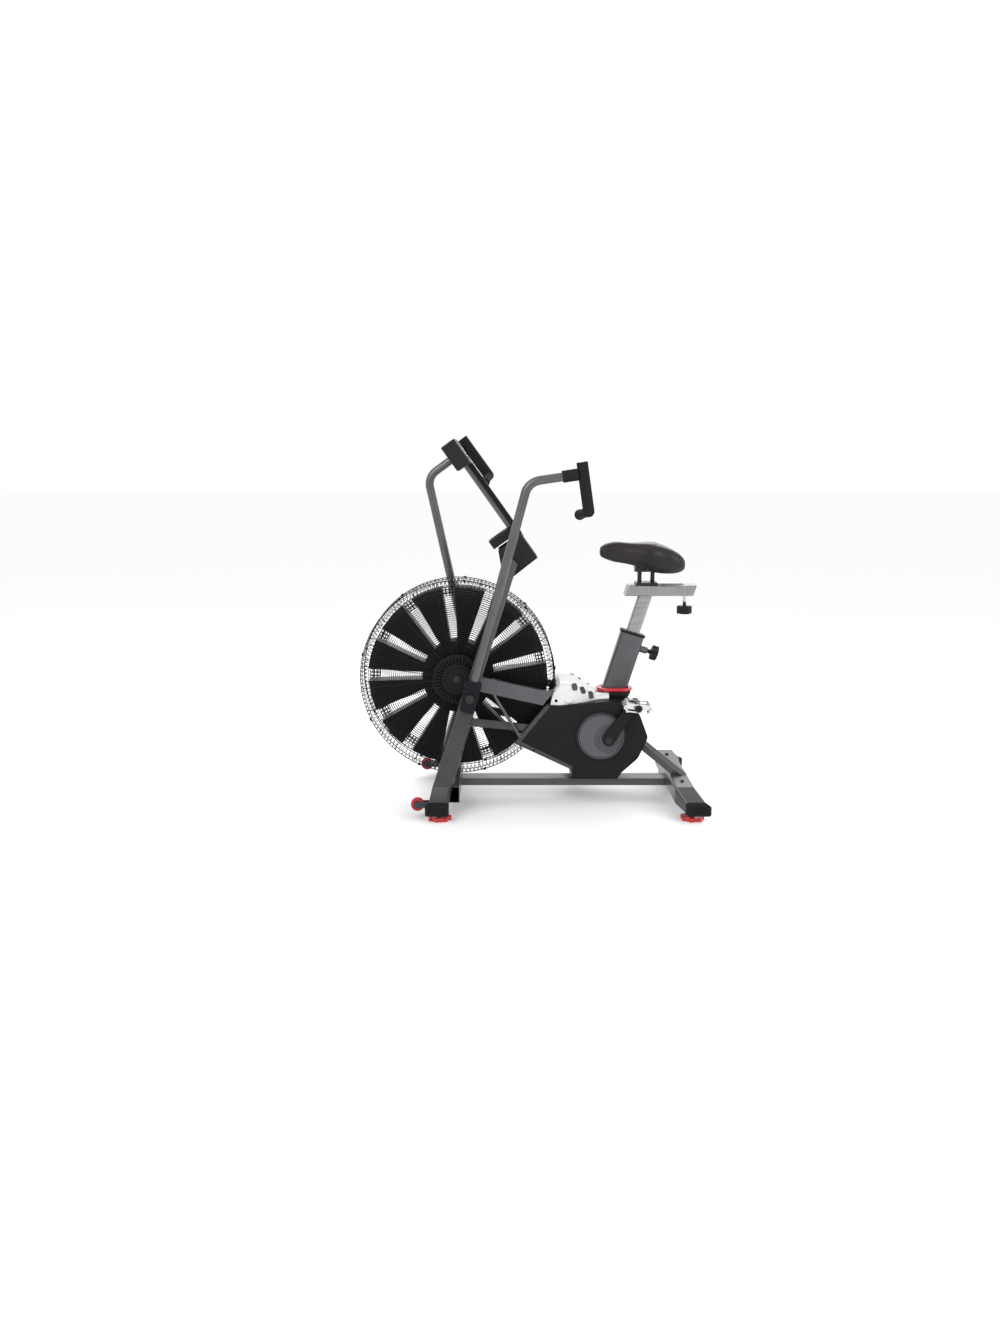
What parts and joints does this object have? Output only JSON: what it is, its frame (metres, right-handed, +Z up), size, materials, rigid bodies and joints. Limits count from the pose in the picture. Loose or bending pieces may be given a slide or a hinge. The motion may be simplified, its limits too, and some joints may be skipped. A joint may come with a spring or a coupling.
{
  "type": "air bike",
  "caption": "Stationary bike whose pedals turn a caged fan by belt; swinging handle arms are linked to the crank, and the saddle adjusts up, down, forward and back.",
  "frame": {"origin": "on the floor, under the middle of the bounding box", "axes": "+Z up; the rider faces -X; the rider's right hand is at +Y"},
  "size_m": [1.272, 0.678, 1.3623],
  "materials": {
    "frame_paint": "satin metallic grey paint",
    "cap_plastic": "fine-grained black plastic",
    "cover_plastic": "satin black plastic",
    "socket_cast": "black-coated casting",
    "wire": "black-coated wire",
    "steel": "machined steel",
    "fan_black": "dark grey moulding",
    "belt_rubber": "ribbed rubber",
    "grip_rubber": "soft black rubber",
    "white_gloss": "glossy white plastic",
    "red_gloss": "glossy red plastic",
    "red_tyre": "red rubber",
    "disc_plastic": "violet-grey plastic",
    "crank_black": "black-coated forging",
    "pedal_alloy": "satin alloy cage",
    "brushed": "brushed stainless steel",
    "chrome": "polished steel",
    "saddle_leather": "black vinyl with dark red seams",
    "knob_black": "black plastic",
    "screen_glass": "dark display window"
  },
  "bodies": {
    "frame": {"rear_stabiliser": "frame_paint", "front_legs": "frame_paint", "end_caps": "cap_plastic", "front_crossmember": "frame_paint", "base_rail": "frame_paint", "cage_grilles": "wire", "cage_rim": "wire", "hub_covers": "cap_plastic", "fan_axle": "steel", "drive_belt": "belt_rubber", "mast_fork": "frame_paint", "side_beams": "frame_paint", "frame_spine": "frame_paint", "seat_tube": "frame_paint", "crank_bearings": "steel", "rear_brace": "frame_paint", "mast_post": "frame_paint", "mast_back_cover": "cap_plastic", "bottle_holder": "cap_plastic", "console_housing": "cover_plastic", "console_screen": "screen_glass", "left_side_cover": "cover_plastic", "right_side_cover": "cover_plastic", "white_fairing": "white_gloss", "bumper_ring": "red_gloss", "post_bush": "cap_plastic"},
    "crank": {"crank_axle": "steel", "drive_pulley": "fan_black", "crank_discs": "disc_plastic", "crank_arms": "crank_black"},
    "left_pedal_body": {"left_pedal": "pedal_alloy"},
    "right_pedal_body": {"right_pedal": "pedal_alloy"},
    "fan": {"fan_wheel": "fan_black", "fan_hub": "fan_black"},
    "left_handle": {"left_arm": "frame_paint", "left_arm_socket": "socket_cast", "left_pivot_shaft": "steel", "left_grip": "grip_rubber"},
    "right_handle": {"right_arm": "frame_paint", "right_arm_socket": "socket_cast", "right_pivot_shaft": "steel", "right_grip": "grip_rubber"},
    "left_rod": {"left_link_rod": "steel"},
    "right_rod": {"right_link_rod": "steel"},
    "seat_column": {"seat_post": "brushed", "saddle_slider": "brushed"},
    "saddle_body": {"saddle_carriage": "chrome", "saddle": "saddle_leather"},
    "height_knob_body": {"height_knob": "knob_black"},
    "slider_knob_body": {"slider_knob": "knob_black"},
    "rear_left_foot": {"rear_left_levelling_foot": "red_gloss"},
    "rear_right_foot": {"rear_right_levelling_foot": "red_gloss"},
    "front_left_foot": {"front_left_levelling_foot": "red_gloss"},
    "front_right_foot": {"front_right_levelling_foot": "red_gloss"},
    "left_wheel": {"left_transport_wheel": "red_tyre"},
    "right_wheel": {"right_transport_wheel": "red_tyre"},
    "start_key": {"start_button": "knob_black"},
    "mode_key": {"mode_button": "knob_black"},
    "reset_key": {"reset_button": "knob_black"}
  },
  "joints": [
    {"name": "crank_spin", "type": "hinge", "parent": "frame", "child": "crank", "pos_m": [0.285, 0, 0.255], "axis": [0, 1, 0], "continuous": true},
    {"name": "left_pedal_spin", "type": "hinge", "parent": "crank", "child": "left_pedal_body", "pos_m": [0.38006, -0.211, 0.39594], "axis": [0, 1, 0], "continuous": true},
    {"name": "right_pedal_spin", "type": "hinge", "parent": "crank", "child": "right_pedal_body", "pos_m": [0.18994, 0.211, 0.11406], "axis": [0, 1, 0], "continuous": true},
    {"name": "fan_spin", "type": "hinge", "parent": "frame", "child": "fan", "pos_m": [-0.272, 0, 0.474], "axis": [0, 1, 0], "continuous": true},
    {"name": "left_arm_swing", "type": "hinge", "parent": "frame", "child": "left_handle", "pos_m": [-0.222, -0.226, 0.43], "axis": [0, -1, 0], "range_deg": [0, 27.5]},
    {"name": "right_arm_swing", "type": "hinge", "parent": "frame", "child": "right_handle", "pos_m": [-0.222, 0.226, 0.43], "axis": [0, -1, 0], "range_deg": [-27.5, 0]},
    {"name": "left_rod_swing", "type": "hinge", "parent": "left_handle", "child": "left_rod", "pos_m": [-0.25202, -0.109, 0.31795], "axis": [0, -1, 0], "range_deg": [-27.5, 0]},
    {"name": "right_rod_swing", "type": "hinge", "parent": "right_handle", "child": "right_rod", "pos_m": [-0.19689, 0.109, 0.31675], "axis": [0, -1, 0], "range_deg": [0, 27.5]},
    {"name": "seat_height", "type": "slide", "parent": "frame", "child": "seat_column", "axis": [0.2974, 0, 0.9548], "range_m": [-0.12, 0.08]},
    {"name": "saddle_slide", "type": "slide", "parent": "seat_column", "child": "saddle_body", "axis": [1, 0, 0], "range_m": [-0.025, 0.09]},
    {"name": "height_knob_pull", "type": "slide", "parent": "frame", "child": "height_knob_body", "axis": [0.9548, 0, -0.2974], "range_m": [0, 0.01], "stiffness_N_per_m": 600},
    {"name": "slider_knob_turn", "type": "hinge", "parent": "seat_column", "child": "slider_knob_body", "pos_m": [0.573, 0, 0.76], "axis": [0, 0, 1], "range_deg": [-180, 180]},
    {"name": "rear_left_foot_turn", "type": "hinge", "parent": "frame", "child": "rear_left_foot", "pos_m": [0.575, -0.294, 0.01], "axis": [0, 0, 1], "range_deg": [-180, 180]},
    {"name": "rear_right_foot_turn", "type": "hinge", "parent": "frame", "child": "rear_right_foot", "pos_m": [0.575, 0.294, 0.01], "axis": [0, 0, 1], "range_deg": [-180, 180]},
    {"name": "front_left_foot_turn", "type": "hinge", "parent": "frame", "child": "front_left_foot", "pos_m": [-0.332, -0.294, 0.01], "axis": [0, 0, 1], "range_deg": [-180, 180]},
    {"name": "front_right_foot_turn", "type": "hinge", "parent": "frame", "child": "front_right_foot", "pos_m": [-0.332, 0.294, 0.01], "axis": [0, 0, 1], "range_deg": [-180, 180]},
    {"name": "left_wheel_spin", "type": "hinge", "parent": "frame", "child": "left_wheel", "pos_m": [-0.411, -0.28, 0.052], "axis": [0, 1, 0], "continuous": true},
    {"name": "right_wheel_spin", "type": "hinge", "parent": "frame", "child": "right_wheel", "pos_m": [-0.411, 0.28, 0.052], "axis": [0, 1, 0], "continuous": true},
    {"name": "start_press", "type": "slide", "parent": "frame", "child": "start_key", "axis": [-0.8131, 0, -0.5821], "range_m": [0, 0.0015], "stiffness_N_per_m": 300},
    {"name": "mode_press", "type": "slide", "parent": "frame", "child": "mode_key", "axis": [-0.8131, 0, -0.5821], "range_m": [0, 0.0015], "stiffness_N_per_m": 300},
    {"name": "reset_press", "type": "slide", "parent": "frame", "child": "reset_key", "axis": [-0.8131, 0, -0.5821], "range_m": [0, 0.0015], "stiffness_N_per_m": 300}
  ],
  "couplings": [
    {"joint": "fan_spin", "follows": "crank_spin", "ratio": 5},
    {"joint": "right_arm_swing", "follows": "left_arm_swing", "ratio": -1},
    {"joint": "left_rod_swing", "follows": "left_arm_swing", "ratio": -1},
    {"joint": "right_rod_swing", "follows": "left_arm_swing", "ratio": 1}
  ]
}
